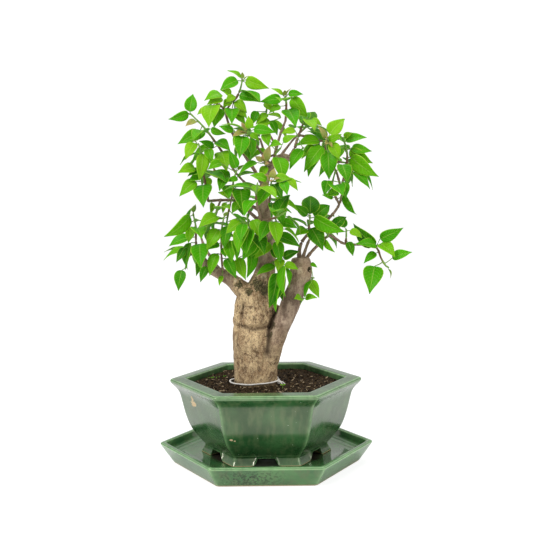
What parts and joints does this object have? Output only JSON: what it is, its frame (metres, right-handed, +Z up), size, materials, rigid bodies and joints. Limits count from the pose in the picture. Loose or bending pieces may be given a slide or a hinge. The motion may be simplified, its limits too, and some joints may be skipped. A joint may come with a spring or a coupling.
{
  "type": "bougainvillea bonsai in a pot",
  "caption": "Bougainvillea bonsai with a thick pruned trunk and leafy shoots, in a glazed hexagonal footed pot on a matching hexagonal saucer.",
  "frame": {"origin": "centre of the flat pad under the saucer, which is the middle of its underside", "axes": "+Z up, -Y towards the tree's front, +X to the tree's right, where the long branch reaches out"},
  "size_m": [0.345, 0.2544, 0.5322],
  "materials": {
    "saucer_glaze": "glossy green glaze",
    "pot_glaze": "glossy green glaze",
    "screen": "matte",
    "soil": "loose and matte",
    "bark": "rough bark",
    "string": "twisted string",
    "leaf": "satin leaf"
  },
  "bodies": {
    "root": {"saucer": "saucer_glaze", "pot": "pot_glaze", "drain_screen_left": "screen", "drain_screen_right": "screen", "soil": "soil", "trunk": "bark", "tie": "string", "shoot_apex": "leaf", "shoot_apex_left": "leaf", "shoot_apex_right": "leaf", "shoot_back_left": "leaf", "shoot_back_left_low": "leaf", "shoot_back_mid": "leaf", "shoot_back_mid_low": "leaf", "shoot_back_right": "leaf", "shoot_back_top": "leaf", "shoot_centre_top": "leaf", "shoot_far_right": "leaf", "shoot_front_low": "leaf", "shoot_front_mid_left": "leaf", "shoot_front_mid_right": "leaf", "shoot_front_mid_top": "leaf", "shoot_hanging": "leaf", "shoot_left": "leaf", "shoot_left_front": "leaf", "shoot_left_inner": "leaf", "shoot_left_low": "leaf", "shoot_left_top": "leaf", "shoot_limb_back": "leaf", "shoot_limb_back_low": "leaf", "shoot_limb_low": "leaf", "shoot_limb_sprout": "leaf", "shoot_limb_tip": "leaf", "shoot_long_right": "leaf", "shoot_low_centre": "leaf", "shoot_lower_left": "leaf", "shoot_right": "leaf", "shoot_right_back": "leaf", "shoot_right_back_low": "leaf", "shoot_right_centre": "leaf", "shoot_right_front": "leaf", "shoot_right_inner": "leaf", "shoot_right_low": "leaf", "shoot_right_outer": "leaf", "shoot_right_top": "leaf", "shoot_rosette_centre": "leaf", "shoot_rosette_left": "leaf", "shoot_star": "leaf", "shoot_stub_back": "leaf", "shoot_stub_sprout": "leaf", "shoot_top_mid": "leaf", "shoot_upper_left": "leaf"}
  },
  "joints": []
}
